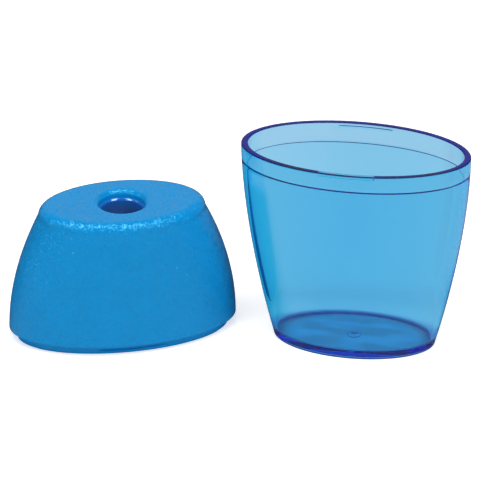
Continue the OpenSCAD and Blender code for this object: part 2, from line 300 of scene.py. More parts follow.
def level(angles, a, b, z, push=None, like=None):
    """Points of one level line. push(x) moves the point that stands at x inwards."""
    line = []
    for t in angles(like or a):
        inwards = push(a * math.cos(t)) if push else 0.0
        line.append(Vector(((a - inwards) * math.cos(t), (b - inwards) * math.sin(t), z)))
    return line


print(f"planes {1000 * SPACING:.1f} mm apart, {END_STEPS} points in a quarter turn at an end")

# %% Skin the lines
SHARP = math.radians(40)   # edges that turn more than this stay sharp


def skinned(name, lines, loop):
    """A closed skin through the lines, as a loop or else with a point that closes each end."""
    n = len(lines[0])
    points = [p for line in lines for p in line]
    faces = []
    for i in range(len(lines) if loop else len(lines) - 1):
        low, high = i * n, (i + 1) % len(lines) * n
        faces += [(low + j, low + (j + 1) % n, high + (j + 1) % n, high + j) for j in range(n)]
    if not loop:
        first, last = len(points), len(points) + 1
        points += [sum(lines[0], Vector()) / n, sum(lines[-1], Vector()) / n]
        top = (len(lines) - 1) * n
        faces += [(first, (j + 1) % n, j) for j in range(n)]
        faces += [(last, top + j, top + (j + 1) % n) for j in range(n)]
    mesh = bpy.data.meshes.new(name)
    mesh.from_pydata(points, [], faces)
    mesh.shade_smooth()
    mesh.set_sharp_from_angle(angle=SHARP)
    piece = bpy.data.objects.new(name, mesh)
    bpy.context.scene.collection.objects.link(piece)
    return piece


def farthest_from(surface, piece, place=Matrix()):
    """How far the new skin strays from the solid that it stands for."""
    return max(surface.find_nearest(place @ v.co)[3] for v in piece.data.vertices)


print(f"edges sharper than {math.degrees(SHARP):.0f} degrees stay sharp")

# %% [markdown]
# The cup is injection moulded from clear blue plastic: a wall that draws in towards a low foot, a mouth
# with a ledge for the lid's spigot, a short snap bead inside the rim at the front and the back, and the
# round mark of the mould's gate in the middle of the base. The levels start at that mark, run round the
# foot and up the outside, over the rim and down the inside to the floor. Light bends in a clear wall, so
# every edge gets its small moulded rounding: a razor-sharp one would look like cut glass.

# %% Draw the cup's levels
BEAD_END = 0.3 * MM        # length over which a bead fades out at its ends
cup_angles = laid_out(MIDDLE * base_a, [0, bead_half - BEAD_END / 2, bead_half, bead_half + BEAD_END / 2])


def cup_half(z, rim, base):
    """Half-width of the cup's outside at a height."""
    return rim - (rim - base) * ((cup_h - z) / cup_h) ** cup_power


def cup_level(z, inset=0.0, at=None):
    """A level line of the cup's outside, or of a skin inside it."""
    at = z if at is None else at
    return level(cup_angles, cup_half(at, rim_a, base_a) - inset, cup_half(at, rim_b, base_b) - inset, z)


def swell(distance, half, ramp):
    """1 inside a bead's half-length, 0 outside it, with a smooth ramp that is half way at its end."""
    share = min(1.0, max(0.0, (half - abs(distance)) / ramp + 0.5))
    return share * share * (3 - 2 * share)


def mouth_level(z, out=0.0, bead=0.0):
    """A level line of the mouth's wall, with its bead at the front and the back."""
    return level(cup_angles, mouth_a + out, mouth_b + out, z,
                 lambda x: bead * swell(x, bead_half, BEAD_END))


def round_level(r, z):
    """A round level line, for the gate mark."""
    return level(cup_angles, r, r, z, like=base_a)


print("cup's levels have", len(cup_level(0)), "points each")

# %% Make the cup's foot, outside and rim
RIM_EDGE = 0.2 * MM
BASE_EDGE = 0.2 * MM
PAD_EDGE = 0.1 * MM
OUTSIDE_LEVELS = 48


def rounds(count):
    """Sine and cosine through a quarter turn."""
    turns = [math.pi / 2 * i / count for i in range(count + 1)]
    return [(math.sin(turn), math.cos(turn)) for turn in turns]


def between(line_1, line_2, shares):
    """Lines that lead from one line to another."""
    return [[p.lerp(q, share) for p, q in zip(line_1, line_2)] for share in shares]


def steps(start, end, count):
    """Evenly spaced values, both ends included."""
    return [start + (end - start) * i / count for i in range(count + 1)]


foot_w = cup_half(BASE_EDGE, rim_a, base_a) - foot_a
foot_line = cup_level(foot_h, foot_w, BASE_EDGE)
cup_lines = [round_level(pad_r * share, 0) for share in (0.3, 0.6)]
cup_lines += [round_level(pad_r - PAD_EDGE * (1 - s), PAD_EDGE * (1 - c)) for s, c in rounds(4)]
cup_lines += between(round_level(pad_r, foot_h), foot_line, (0, 0.03, 0.3, 0.6, 0.97))
cup_lines += [cup_level(foot_h * (1 - s), foot_w - foot_h * (1 - c), BASE_EDGE) for s, c in rounds(5)]
cup_lines += [cup_level(BASE_EDGE * (1 - c), BASE_EDGE * (1 - s), BASE_EDGE) for s, c in rounds(8)]
cup_lines += [cup_level(z) for z in steps(BASE_EDGE, cup_h - RIM_EDGE, OUTSIDE_LEVELS)[1:]]
cup_lines += [cup_level(cup_h - RIM_EDGE * (1 - s), RIM_EDGE * (1 - c)) for s, c in rounds(4)[1:]]
cup_lines += [mouth_level(cup_h - RIM_EDGE * (1 - c), RIM_EDGE * (1 - s)) for s, c in rounds(4)]
print("cup's foot, outside and rim:", len(cup_lines), "levels")

# %% [markdown]
# Inside, the mouth runs down over the bead to the ledge. A short slope fills the ledge's corner, as it
# does in a mould that has to let go of its part: seen from outside, light that meets the slope is thrown
# down into the wall, which draws the dark line under the rim. A round fillet could fill the corner too,
# but only a narrow strip of it throws light down, so its line would be too faint.

# %% Draw the cup's mouth and ledge
LEDGE_EDGE = 0.05 * MM
LEDGE_SLOPE, LEDGE_RISE = 0.18 * MM, 0.36 * MM
BEAD_LEVELS, MOUTH_LEVELS = 28, 8
bead_middle, bead_tall = (bead_top + bead_low) / 2, (bead_top - bead_low) / 2
bead_end = bead_low - 2 * bead_tall
bead_heights = steps(cup_h - RIM_EDGE, bead_end, BEAD_LEVELS)[1:]
for z in bead_heights + steps(bead_end, ledge_z + LEDGE_RISE, MOUTH_LEVELS)[1:-1]:
    cup_lines.append(mouth_level(z, bead=bead_out * swell(z - bead_middle, bead_tall, bead_tall / 2)))


def inner_level(z, end_in=0.0, side_in=0.0, at=None):
    """A level line of the cup's inside below the ledge, where the wall is thinner at the two ends."""
    at = z if at is None else at
    return level(cup_angles, cup_half(at, rim_a, base_a) - end_wall - end_in,
                 cup_half(at, rim_b, base_b) - side_wall - side_in, z)


end_ledge = mouth_a - cup_half(ledge_z, rim_a, base_a) + end_wall
end_edge = end_ledge / 3
slope_foot = level(cup_angles, mouth_a - end_edge, mouth_b - LEDGE_SLOPE, ledge_z)
cup_lines += between(mouth_level(ledge_z + LEDGE_RISE), slope_foot, (0, 0.05, 0.35, 0.65, 0.95, 1))
cup_lines += [inner_level(ledge_z - LEDGE_EDGE * (1 - c), -end_edge * (1 - s), -LEDGE_EDGE * (1 - s))
              for s, c in rounds(6)]
print(f"ledge {1000 * end_ledge:.2f} mm wide at the ends, down to level {len(cup_lines)}")

# %% Close the cup's inside and skin it
FLOOR_FILLET = 0.7 * MM
INSIDE_LEVELS = 40
fillet_z = floor_z + FLOOR_FILLET
cup_lines += [inner_level(z) for z in steps(ledge_z - LEDGE_EDGE, fillet_z, INSIDE_LEVELS)[1:]]
for s, c in rounds(10)[1:]:
    inset = FLOOR_FILLET * (1 - c)
    cup_lines.append(inner_level(fillet_z - FLOOR_FILLET * s, inset, inset, fillet_z))
nub_foot = round_level(nub_r + nub_h, floor_z)
cup_lines += between(cup_lines[-1], nub_foot, (0.02, 0.25, 0.5, 0.75, 0.97))
cup_lines += [round_level(nub_r + nub_h * (1 - s), floor_z + nub_h * (1 - c)) for s, c in rounds(4)]
cup_lines += [round_level(nub_r * share, floor_z + nub_h) for share in (0.7, 0.4)]

cup_shell = skinned("cup_shell", cup_lines, loop=False)
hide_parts("cup")
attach(cup_shell, "cup")
print(f"{cup_shell.name}: {len(cup_shell.data.polygons)} faces, "
      f"at most {1000 * farthest_from(cup_surface, cup_shell):.3f} mm from the solid")

# %% [markdown]
# The lid is one opaque moulding: a domed oval side, a flat top with a rounded hole for the pencil, and
# under its shoulder a spigot that drops into the cup's mouth. A recess at the front and the back of the
# spigot takes the cup's bead. It is skinned like the cup, but as a loop, because the hole goes right
# through it. A hole cut with a boolean would leave long thin faces in the top, which shade badly.

# %% Make the lid's outside
SHOULDER_EDGE = 0.2 * MM
STEP = 0.01 * MM           # width of a step that looks upright
HAIR = 0.015 * MM          # keeps the smooth outline inside the solid's faceted one
SIDE_LEVELS = 44
GRAIN_INTO_HOLE = 4        # levels of the hole's rounding that still have the grain
lid_angles = laid_out(MIDDLE * (top_a - TOP_EDGE), [0, rib_half, rib_half + STEP])


def lid_half(z, rim, top):
    """Half-width of the lid's outside at a height."""
    return rim - (rim - top) * min(1.0, max(0.0, lid_rise(z))) ** lid_power


def lid_level(z, inset=0.0, at=None):
    """A level line of the lid's outside, or of a skin inside it."""
    at, inset = z if at is None else at, inset + HAIR
    return level(lid_angles, lid_half(at, rim_a, top_a) - inset, lid_half(at, rim_b, top_b) - inset, z)


def hole_level(r, z):
    """A round level line, for the pencil hole."""
    return level(lid_angles, r, r, z, like=top_a - TOP_EDGE)


lid_lines = [lid_level(shoulder_z + SHOULDER_EDGE * (1 - c), SHOULDER_EDGE * (1 - s), shoulder_z)
             for s, c in rounds(4)[1:]]
lid_lines += [lid_level(z) for z in steps(shoulder_z + SHOULDER_EDGE, round_z, SIDE_LEVELS)[1:]]
lid_lines += [lid_level(round_z + TOP_EDGE * s, TOP_EDGE * (1 - c), round_z) for s, c in rounds(12)[1:]]
hole_rim = hole_level(hole_r + hole_round, lid_h)
lid_lines += between(lid_lines[-1], hole_rim, (0.02, 0.2, 0.4, 0.6, 0.8, 0.97, 1))
grained_lines = len(lid_lines) + GRAIN_INTO_HOLE
lid_lines += [hole_level(hole_r + hole_round * (1 - s), lid_h - hole_round * (1 - c))
              for s, c in rounds(8)[1:]]
lid_lines += [hole_level(hole_r, z) for z in steps(lid_h - hole_round, under_z, 3)[1:]]
print("lid's outside, top and hole:", len(lid_lines), "levels of", len(lid_lines[0]), "points")

# %% [markdown]
# Inside the lid two guide ribs hold the insert. They could be boxes of their own, but a moulding is one
# skin. So the points of a few upright planes are moved in to a rib's tip, and ribs and wall stay joined.

# %% Make the lid's inside
INNER_EDGE = 0.8 * MM
LIP_EDGE = 0.2 * MM
RIB_LEVELS, BELOW_LEVELS = 20, 20
corner_z = under_z - INNER_EDGE
inner_a, inner_b = spigot_a - spigot_wall, spigot_b - spigot_wall


def inside_level(z, inset=0.0, at=None):
    """A level line of the lid's inside, with the points of the guide ribs moved in to their tips."""
    at = z if at is None else at
    a = min(inner_a, lid_half(at, rim_a, top_a) - lid_wall) - inset
    b = min(inner_b, lid_half(at, rim_b, top_b) - lid_wall) - inset
    line = level(lid_angles, a, b, z)
    for p in line:
        if z > rib_foot and abs(p.x) < rib_half + STEP / 2 and abs(p.y) > rib_tip:
            p.y = math.copysign(rib_tip, p.y)
    return line


corner = [inside_level(corner_z + INNER_EDGE * s, INNER_EDGE * (1 - c), corner_z) for s, c in rounds(6)]
lid_lines += between(lid_lines[-1], corner[-1], (0.02, 0.3, 0.6, 0.97))
lid_lines += reversed(corner)
lid_lines += [inside_level(z) for z in steps(corner_z, rib_foot + STEP, RIB_LEVELS)[1:]]
lid_lines += [inside_level(z) for z in steps(rib_foot, LIP_EDGE, BELOW_LEVELS)]
for s, c in rounds(4)[1:]:
    out = LIP_EDGE * (1 - c)
    lid_lines.append(level(lid_angles, inner_a + out, inner_b + out, LIP_EDGE * (1 - s)))
print("with the inside:", len(lid_lines), "levels")

# %% Make the spigot and skin the lid
FINE_EDGE = 0.1 * MM
SNAP_RAMP = 0.4 * MM
PAD_HALF = 0.85 * spigot_a     # the spigot's long sides stand a little proud of its ends
PAD_STEP = 0.1 * MM
SPIGOT_LEVELS = 20


def spigot_level(z, inset=0.0, recess=0.0):
    """A level line of the spigot's outside, with its recesses and its slightly lower ends."""
    def push(x):
        return recess * swell(x, recess_half, SNAP_RAMP) + PAD_STEP * (1 - swell(x, PAD_HALF, SNAP_RAMP))
    return level(lid_angles, spigot_a - inset, spigot_b - inset, z, push)


lid_lines += [spigot_level(LIP_EDGE * (1 - c), LIP_EDGE * (1 - s)) for s, c in rounds(4)]
for z in steps(LIP_EDGE, shoulder_z - FINE_EDGE, SPIGOT_LEVELS)[1:]:
    recess_share = min(1.0, max(0.0, (z - recess_low) / FINE_EDGE + 0.5))
    lid_lines.append(spigot_level(z, recess=recess_in * recess_share))
lid_lines += [spigot_level(shoulder_z - FINE_EDGE * (1 - s), -FINE_EDGE * (1 - c), recess_in)
              for s, c in rounds(3)[1:]]
lid_lines.append(lid_level(shoulder_z, SHOULDER_EDGE, shoulder_z))

lid_shell = skinned("lid_shell", lid_lines, loop=True)
print(f"{lid_shell.name}: {len(lid_shell.data.polygons)} faces, "
      f"at most {1000 * farthest_from(lid_surface, lid_shell, lid_place):.3f} mm from the solid")
lid_shell.data.transform(lid_place)
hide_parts("lid")
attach(lid_shell, "lid")

# %% [markdown]
# The insert that guides the pencil, its blade and its screw sit inside the lid. Their solids already have
# the right shape, but a moulded or ground edge is never razor sharp. Copies of the solids get their flat
# faces joined again and their edges eased with a bevel, so that each edge catches a thin line of light.
# Modelling them anew would only repeat what the solids say.

# %% Ease the edges of the insert, the blade and the screw
FLAT = math.radians(1)     # faces that turn less than this are joined
CREASE = math.radians(28)  # edges that turn more than this are eased
BEVEL_STEPS = 3
ROOM_FOR_EDGE = 2.5        # an edge is eased if all edges that meet it are this many widths long


def roomy(edge, width):
    """True where an edge and all that meet it are long enough for a rounding of that width."""
    return all(e.calc_length() > ROOM_FOR_EDGE * width for v in edge.verts for e in v.link_edges)


def eased(name, node, width):
    """A copy of a solid with its edges rounded over by the width."""
    mesh = frame["nodes"][node].data.copy()
    mesh.name = name
    shape = bmesh.new()
    shape.from_mesh(mesh)
    bmesh.ops.remove_doubles(shape, verts=shape.verts, dist=SKIP)
    bmesh.ops.dissolve_limit(shape, angle_limit=FLAT, verts=shape.verts, edges=shape.edges)
    edges = [e for e in shape.edges if e.is_manifold and e.calc_face_angle() > CREASE and roomy(e, width)]
    bmesh.ops.bevel(shape, geom=edges, offset=width, offset_type="OFFSET", segments=BEVEL_STEPS,
                    profile=0.5, affect="EDGES", clamp_overlap=False)
    shape.to_mesh(mesh)
    shape.free()
    mesh.materials.clear()
    mesh.shade_smooth()
    mesh.set_sharp_from_angle(angle=CREASE)
    piece = bpy.data.objects.new(name, mesh)
    bpy.context.scene.collection.objects.link(piece)
    flat_faces = piece.modifiers.new("flat_faces", "WEIGHTED_NORMAL")
    flat_faces.keep_sharp = True
    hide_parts(node)
    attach(piece, "lid")
    print(f"{name}: {len(edges)} edges eased, {len(mesh.polygons)} faces")
    return piece


insert = eased("insert", "sharpener_block", 0.08 * MM)
sharp_blade = eased("sharp_blade", "blade", 0.03 * MM)
slotted_screw = eased("slotted_screw", "blade_screw", 0.05 * MM)

# %% [markdown]
# The cup's plastic is clear, and its blue comes from dye all through it: one thin wall looks pale, two
# walls look blue, and the rim and the base, where light travels a long way inside, turn deep violet.
# Painting those places by hand would fail from every other side, so the shader does what the dye does: a
# clear surface, and a volume that swallows red most, then green, and blue least. A very shallow ripple
# stands for the flow of the plastic in the mould.

# %% Mix the clear blue plastic
DYE = (0.0, 0.80, 0.987, 1)    # share of red, green and blue that the dye lets through
DYE_DENSITY = 630.0
FLOW_SCALE, FLOW_DEPTH = 160.0, 0.03 * MM


def new_finish(name):
    """An empty material, its node tree and its Principled shader."""
    finish = bpy.data.materials.new(name)
    finish.use_nodes = True
    return finish, finish.node_tree, finish.node_tree.nodes["Principled BSDF"]


def add_node(tree, kind, inputs=None, **choices):
    """A new shader node with its choices made. Each input is set to a value, or linked to an output."""
    node = tree.nodes.new("ShaderNode" + kind)
    for name, choice in choices.items():
        setattr(node, name, choice)
    for name, value in (inputs or {}).items():
        if isinstance(value, bpy.types.NodeSocket):
            tree.links.new(value, node.inputs[name])
        else:
            node.inputs[name].default_value = value
    return node


clear_blue, tree, shader = new_finish("clear_blue_plastic")
shader.inputs["Base Color"].default_value = (1.0, 1.0, 0.97, 1)
shader.inputs["Transmission Weight"].default_value = 1.0
shader.inputs["IOR"].default_value = 1.57
shader.inputs["Roughness"].default_value = 0.02
dye = add_node(tree, "VolumeAbsorption", {"Color": DYE, "Density": DYE_DENSITY})
tree.links.new(dye.outputs["Volume"], tree.nodes["Material Output"].inputs["Volume"])
place = add_node(tree, "TexCoord").outputs["Object"]
flow = add_node(tree, "TexNoise", {"Vector": place, "Scale": FLOW_SCALE, "Detail": 1.0})
ripple = add_node(tree, "Bump", {"Height": flow.outputs["Fac"], "Strength": 0.25, "Distance": FLOW_DEPTH})
tree.links.new(ripple.outputs["Normal"], shader.inputs["Normal"])
cup_shell.data.materials.append(clear_blue)
print("mixed", clear_blue.name)

# %% [markdown]
# The lid's outside is spark-eroded in its mould, which leaves a fine pebbled grain of about a fifth of a
# millimetre. Where a lamp's reflection falls, single pebbles light up as sparks. The hole, the spigot and
# the inside are smooth. Real pebbles would take millions of faces, and a soft noise blurs away at this
# distance. A cell texture gives each pebble a colour of its own, and that colour tilts the whole pebble
# one way, like a small facet. The slopes are squared, so most pebbles lie nearly flat and few are steep.

# %% Set up the grained plastic
GRAIN = 0.2 * MM
MOTTLE, MOTTLE_DEPTH = 6 * MM, 0.06
GLOSS_SPREAD = 0.03
GLOSS_LEVEL = 0.9
blue_gloss = (0.25, 0.9, 1.0)


def shade_of(colour, light):
    """A colour made lighter or darker."""
    return tuple(light * c for c in colour)


def pebbled(tree, place, tilt):
    """A normal that tilts each pebble of the grain its own way."""
    pebbles = add_node(tree, "TexVoronoi", {"Vector": place, "Scale": 1 / GRAIN}).outputs["Color"]
    centred = add_node(tree, "VectorMath", {0: pebbles, 1: (0.5, 0.5, 0.5)}, operation="SUBTRACT").outputs[0]
    upright = add_node(tree, "NewGeometry").outputs["Normal"]
    steepness = add_node(tree, "VectorMath", {0: centred}, operation="ABSOLUTE").outputs[0]
    steeper = add_node(tree, "VectorMath", {0: steepness, "Scale": 2 * tilt}, operation="SCALE").outputs[0]
    tilted = add_node(tree, "VectorMath", {0: centred, 1: steeper, 2: upright}, operation="MULTIPLY_ADD")
    return add_node(tree, "VectorMath", {0: tilted.outputs[0]}, operation="NORMALIZE").outputs[0]


def grained(name, colour, roughness, tilt, gloss_tint=blue_gloss):
    """Opaque plastic with a slight mottle and pebbles that tilt, and the output that holds its colour."""
    finish, tree, shader = new_finish(name)
    shader.inputs["Specular IOR Level"].default_value = GLOSS_LEVEL
    shader.inputs["Specular Tint"].default_value = (*gloss_tint, 1)
    place = add_node(tree, "TexCoord").outputs["Object"]
    mottle = add_node(tree, "TexNoise", {"Vector": place, "Scale": 1 / MOTTLE, "Detail": 3.0}).outputs["Fac"]
    darker, lighter = (shade_of(colour, 1 + change) for change in (-MOTTLE_DEPTH, MOTTLE_DEPTH))
    tint = add_node(tree, "Mix", {"Factor": mottle, "A": (*darker, 1), "B": (*lighter, 1)}, data_type="RGBA")
    tree.links.new(tint.outputs["Result"], shader.inputs["Base Color"])
    gloss = add_node(tree, "MapRange", {"Value": mottle, "To Min": roughness - GLOSS_SPREAD,
                                        "To Max": roughness + GLOSS_SPREAD})
    tree.links.new(gloss.outputs["Result"], shader.inputs["Roughness"])
    tree.links.new(pebbled(tree, place, tilt), shader.inputs["Normal"])
    return finish, tint.outputs["Result"]


print(f"grain of {1000 * GRAIN:.1f} mm on a mottle of {1000 * MOTTLE:.0f} mm")

# %% Mix the lid's plastic
GRAIN_TILT, SMOOTH_TILT = 0.68, 0.02
GRAIN_GLOSS, SMOOTH_GLOSS = 0.1, 0.12      # roughness
lid_blue = (0.004, 0.275, 0.665)
# painted light: the smooth hole, spigot and inside are the same plastic, made 15 % lighter to stand in for
# the light the paper throws up onto the spigot
smooth_blue_painted_lighter = shade_of(lid_blue, 1.15)
grained_plastic, _ = grained("grained_blue_plastic", lid_blue, GRAIN_GLOSS, GRAIN_TILT)
smooth_plastic, _ = grained("smooth_blue_plastic", smooth_blue_painted_lighter, SMOOTH_GLOSS, SMOOTH_TILT)
lid_shell.data.materials.append(grained_plastic)
lid_shell.data.materials.append(smooth_plastic)
points_round = len(lid_lines[0])
for face in lid_shell.data.polygons:
    face.material_index = 0 if face.index // points_round < grained_lines else 1
print("grain on", sum(f.material_index == 0 for f in lid_shell.data.polygons), "of the lid's faces")

# %% [markdown]
# The insert is moulded from a deeper, violet blue. Round the bore's mouth its colour is painted lighter,
# near the lid's blue, and down the bore it is painted darker with depth: painted light and painted shade.
# A separate ring of plastic could carry the second colour, but the height of a point is enough to mix the
# two.

# %% Mix the insert's plastic
# painted shade: over this depth below the insert's top the painted lighter blue turns into the violet
PAINTED_SHADE_DEPTH = 2.5 * MM
mouth_blue_painted_light, insert_violet = (0.01, 0.145, 0.54), (0.034, 0.105, 0.32)
pale_gloss = (0.8, 0.95, 1.0)
insert_finish, painted_light_tint = grained("insert_blue_plastic", mouth_blue_painted_light, SMOOTH_GLOSS, SMOOTH_TILT, pale_gloss)
tree = insert_finish.node_tree
place = add_node(tree, "TexCoord").outputs["Object"]
height = add_node(tree, "SeparateXYZ", {"Vector": place}).outputs["Z"]
# painted light near the mouth and painted shade deeper in the bore, mixed by the height of a point
painted_light_share = add_node(tree, "MapRange", {"Value": height, "From Min": under_z - PAINTED_SHADE_DEPTH,
                                         "From Max": under_z}).outputs["Result"]
painted_depth_shade = add_node(tree, "Mix", {"Factor": painted_light_share, "A": (*insert_violet, 1), "B": painted_light_tint},
                  data_type="RGBA")
tree.links.new(painted_depth_shade.outputs["Result"], tree.nodes["Principled BSDF"].inputs["Base Color"])
insert.data.materials.append(insert_finish)
print("mixed", insert_finish.name)

# %% [markdown]
# The blade is ground steel: the wheel leaves fine straight scratches across it, which stretch its
# reflections. The screw is turned from duller steel. Both start from a metal shader. A noise that is
# stretched along one direction gives the scratches, and drives the roughness and a shallow bump alike.
# Cut scratches would be far finer than the mesh.

# %% Mix the steels
GROUND, TURNED = (900, 400, 14000), (2500, 2500, 2500)   # scratches in a metre along each of the lid's axes
SCRATCH_DEPTH = 0.01 * MM
SCRATCH_SPREAD = 0.1       # of the roughness
bright_steel, dull_steel = (0.66, 0.67, 0.69), (0.52, 0.53, 0.55)


def scratched(name, colour, roughness, fine):
    """Steel with scratches, as a noise with its own fineness along each of the lid's axes."""
    finish, tree, shader = new_finish(name)
    shader.inputs["Base Color"].default_value = (*colour, 1)
    shader.inputs["Metallic"].default_value = 1.0
    place = add_node(tree, "TexCoord").outputs["Object"]
    turned = add_node(tree, "VectorRotate", {"Vector": place, "Angle": -lid_turn}, rotation_type="Z_AXIS")
    stretch = add_node(tree, "Mapping", {"Vector": turned.outputs["Vector"], "Scale": fine})
    scratches = add_node(tree, "TexNoise", {"Vector": stretch.outputs["Vector"], "Scale": 1.0, "Detail": 3.0})
    depth = scratches.outputs["Fac"]
    gloss = add_node(tree, "MapRange", {"Value": depth, "To Min": roughness - SCRATCH_SPREAD,
                                        "To Max": roughness + SCRATCH_SPREAD})
    tree.links.new(gloss.outputs["Result"], shader.inputs["Roughness"])
    bump = add_node(tree, "Bump", {"Height": depth, "Strength": 0.6, "Distance": SCRATCH_DEPTH})
    tree.links.new(bump.outputs["Normal"], shader.inputs["Normal"])
    return finish


sharp_blade.data.materials.append(scratched("ground_steel", bright_steel, 0.26, GROUND))
slotted_screw.data.materials.append(scratched("turned_steel", dull_steel, 0.32, TURNED))
print("steel on", sharp_blade.name, "and", slotted_screw.name)

# %% [markdown]
# The set is a plain white floor and backdrop. White all round would wash out the gloss, so the light path
# tells the rays apart, as white paper and black cards do in a studio. The camera sees plain white. Rays
# through the clear cup see the white backdrop and, higher up, a dim blue studio. Rays that a gloss throws
# back see a dark room, with some backdrop only far behind the object. All other rays get a little even
# light, so the white never floods the part.

# %% Tell the rays apart
def largest(tree, *values):
    """The largest of several values."""
    top = values[0]
    for value in values[1:]:
        top = add_node(tree, "Math", {0: top, 1: value}, operation="MAXIMUM").outputs["Value"]
    return top


def mirror_rays(tree):
    """A value that is 1 for rays that a gloss throws back, and 0 for rays through clear plastic."""
    rays = add_node(tree, "LightPath").outputs
    thrown = add_node(tree, "Math", {0: rays["Is Glossy Ray"], 1: rays["Is Transmission Ray"]},
                      operation="SUBTRACT", use_clamp=True)
    return thrown.outputs["Value"]


def blended(tree, share, first, second, **choices):
    """A colour mixed from two."""
    mix = add_node(tree, "Mix", {"Factor": share, "A": first, "B": second}, data_type="RGBA", **choices)
    return mix.outputs["Result"]


def along(tree, point, direction):
    """How far a point lies along a direction."""
    return add_node(tree, "VectorMath", {0: point, 1: direction}, operation="DOT_PRODUCT").outputs["Value"]


def carried(tree, value, span, results):
    """A value carried over smoothly from one span to another."""
    over = add_node(tree, "MapRange", {"Value": value, "From Min": span[0], "From Max": span[1],
                                       "To Min": results[0], "To Max": results[1]},
                    interpolation_type="SMOOTHSTEP")
    return over.outputs["Result"]


print("helpers for the sky and the paper are ready")

# %% Set the sky
CAMERA_TURN = 11.33                        # degrees to the right of the front
FORWARD = (-math.sin(math.radians(CAMERA_TURN)), math.cos(math.radians(CAMERA_TURN)), 0)
WHITE = (1, 1, 1, 1)
AMBIENT = (0.2, 0.2, 0.2, 1)               # even light for all other rays
STUDIO_AHEAD = (0.06, 0.1, 0.15, 1)        # above the backdrop, seen through the cup
STUDIO_BEHIND = (0.06, 0.1, 0.7, 1)        # the same behind the camera
BEHIND_TO_AHEAD = (-0.2, 0.4)              # span over which one turns into the other
BACKDROP_TOP = (2, 16)                     # degrees above level between which the backdrop ends
ROOM, FAR_BACKDROP = 0.05, 0.4             # mirrored in a gloss
FAR_BEHIND = (0.5, 0.95)                   # span over which the backdrop comes into the gloss
sky = bpy.data.worlds.new("white_sky")
sky.use_nodes = True
bpy.context.scene.world = sky
tree = sky.node_tree
rays = add_node(tree, "LightPath").outputs
direction = add_node(tree, "TexCoord").outputs["Generated"]
height = add_node(tree, "SeparateXYZ", {"Vector": direction}).outputs["Z"]
above = carried(tree, height, [math.sin(math.radians(top)) for top in BACKDROP_TOP], (0.0, 1.0))
ahead = along(tree, direction, FORWARD)
studio = blended(tree, carried(tree, ahead, BEHIND_TO_AHEAD, (0.0, 1.0)), STUDIO_BEHIND, STUDIO_AHEAD)
backdrop = blended(tree, above, WHITE, studio)
mirrored = carried(tree, ahead, FAR_BEHIND, (ROOM, FAR_BACKDROP))
shown = blended(tree, mirror_rays(tree), backdrop, mirrored)
shown = blended(tree, largest(tree, rays["Is Camera Ray"], rays["Diffuse Depth"]), shown, WHITE)
direct = largest(tree, rays["Is Camera Ray"], rays["Is Glossy Ray"], rays["Is Transmission Ray"])
tree.links.new(blended(tree, direct, AMBIENT, shown), tree.nodes["Background"].inputs["Color"])
print("sky:", sky.name)

# %% [markdown]
# The floor is a sheet of white paper that keeps the object's soft shadow. It is one wide face, because a
# curved sweep up to the backdrop would never be seen against the white.

# %% Lay the floor
FLOOR_HALF = 1.5
FLOOR_GAP = 0.05 * MM
floor_mesh = bpy.data.meshes.new("white_floor")
corners = [(x * FLOOR_HALF, y * FLOOR_HALF, -FLOOR_GAP) for x, y in ((-1, -1), (1, -1), (1, 1), (-1, 1))]
floor_mesh.from_pydata(corners, [], [(0, 1, 2, 3)])
white_floor = bpy.data.objects.new("white_floor", floor_mesh)
bpy.context.scene.collection.objects.link(white_floor)
print("floor laid", 2 * FLOOR_HALF, "m wide")

# %% [markdown]
# Light that reaches the paper through the cup is blue, and the renderer finds no path from a lamp through
# the bent walls to the paper. So the paper that is seen through the cup carries that blue shade itself:
# deepest along the foot's outline, pale a cup's width away, with the shadow that the cup casts to the
# left and the soft patches of light that its walls throw under it. The lamps are kept off the cup for
# the same reason. Caustics from many more light paths could do it too, but would take hours.

# %% Shade the paper beside the cup
CUP_SHADE = ((0.78, (0.08, 0.40, 0.73)), (0.92, (0.09, 0.18, 0.36)), (1.03, (0.09, 0.16, 0.33)),
             (1.13, (0.3, 0.4, 0.72)), (1.36, (1.05, 0.86, 0.97)), (2.0, (0.82, 0.765, 0.9)))
widest = CUP_SHADE[-1][0]                  # in sizes of the foot, as the first number of each row
paper = bpy.data.materials.new("white_paper")
paper.use_nodes = True
tree = paper.node_tree
tree.nodes.remove(tree.nodes["Principled BSDF"])
rays = add_node(tree, "LightPath").outputs
spot = add_node(tree, "TexCoord").outputs["Object"]
foot_size = (1 / widest / base_a, 1 / widest / base_b, 0)
oval = add_node(tree, "Mapping", {"Vector": spot, "Scale": foot_size}).outputs["Vector"]
outwards = add_node(tree, "VectorMath", {0: oval}, operation="LENGTH").outputs["Value"]
shade = add_node(tree, "ValToRGB", {"Fac": outwards})
shade.color_ramp.interpolation = "EASE"
while len(shade.color_ramp.elements) < len(CUP_SHADE):
    shade.color_ramp.elements.new(0.5)
for stop, (where, colour) in zip(shade.color_ramp.elements, CUP_SHADE):
    stop.position, stop.color = where / widest, (*colour, 1)
print("shade of the cup from", CUP_SHADE[0][0], "to", widest, "of the foot's size")

# %% Add the cast shadow and the patches of light
RIGHT = (FORWARD[1], -FORWARD[0], 0)
CAST_SHADE = (0.22, 0.84, 0.9, 1)          # shadow that the cup casts to the left of the camera's view
CAST_EDGE, CAST_SLANT = (-15.3 * MM, -10.3 * MM), 0.083
CAST_END = (58 * MM, 68 * MM)              # how far behind the cup it fades out
PATCH_TURN, PATCH_SCALE = math.radians(-35), (90, 260, 0)
PATCH_SPAN = (0.4, 0.62)                   # of the noise that lays the patches out
PATCH_LIGHT = (0.86, 1.22)                 # light between the patches and in them
UNDER_CUP = (0.64, 0.84)                   # where the patches end, in sizes of the foot


def times(tree, first, second):
    """One colour multiplied by another."""
    return blended(tree, 1.0, first, second, blend_type="MULTIPLY")


